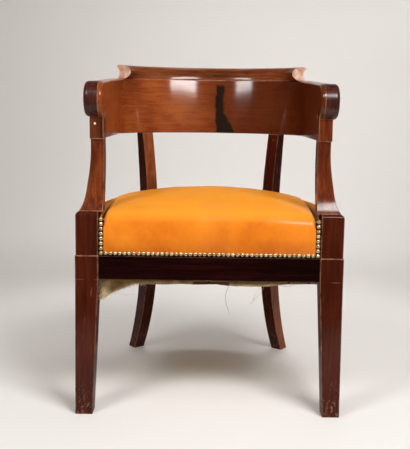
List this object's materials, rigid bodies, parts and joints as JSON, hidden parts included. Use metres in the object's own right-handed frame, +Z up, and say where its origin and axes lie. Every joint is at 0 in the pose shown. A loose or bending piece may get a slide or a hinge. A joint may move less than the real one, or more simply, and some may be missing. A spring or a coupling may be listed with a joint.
{
  "type": "gondola armchair",
  "caption": "Wooden desk armchair with a horseshoe back, rolled crest and arm ends, sabre rear legs and a sprung leather seat trimmed with brass nails.",
  "frame": {"origin": "on the floor under the middle of the chair's box", "axes": "+Z up, +Y from the front of the seat to the back, +X to the right of someone facing the chair"},
  "size_m": [0.586, 0.571, 0.7851],
  "materials": {
    "mahogany": "polished red-brown mahogany, worn at the edges",
    "dowel_beech": "plain turned beech",
    "tan_leather": "smooth tan hide with a soft shine",
    "nail_brass": "domed, aged and rubbed bright",
    "jute_webbing": "woven brown jute",
    "jute_cloth": "coarse frayed hessian",
    "canvas": "heavy plain canvas",
    "horsehair": "curled hair stuffing",
    "twine": "waxed flax twine",
    "spring_steel": "dull coppered steel wire",
    "tack_iron": "blued cut tacks"
  },
  "bodies": {
    "root": {"front_leg_left": "mahogany", "front_leg_right": "mahogany", "rear_leg_left": "mahogany", "rear_leg_right": "mahogany", "seat_rail_front": "mahogany", "seat_rail_left": "mahogany", "seat_rail_right": "mahogany", "seat_rail_rear": "mahogany", "arm_support_left": "mahogany", "arm_support_right": "mahogany", "arm_block_left": "mahogany", "arm_block_right": "mahogany", "arm_rail_left": "mahogany", "arm_rail_right": "mahogany", "arm_boss_left": "mahogany", "arm_boss_right": "mahogany", "back_rail": "mahogany", "crest_rail": "mahogany", "arm_dowels": "dowel_beech", "back_dowels": "dowel_beech", "crest_dowels": "dowel_beech", "leather_cover": "tan_leather", "nails_front": "nail_brass", "nails_post_left": "nail_brass", "nails_post_right": "nail_brass", "nails_left": "nail_brass", "nails_right": "nail_brass", "nails_rear": "nail_brass", "webbing_lengthwise": "jute_webbing", "webbing_crosswise": "jute_webbing", "dust_cover": "jute_cloth", "spring_canvas": "canvas", "stuffing_pad": "horsehair", "spring_twine": "twine", "seat_springs": "spring_steel", "webbing_tacks": "tack_iron", "dust_cover_tacks": "tack_iron"}
  },
  "joints": []
}
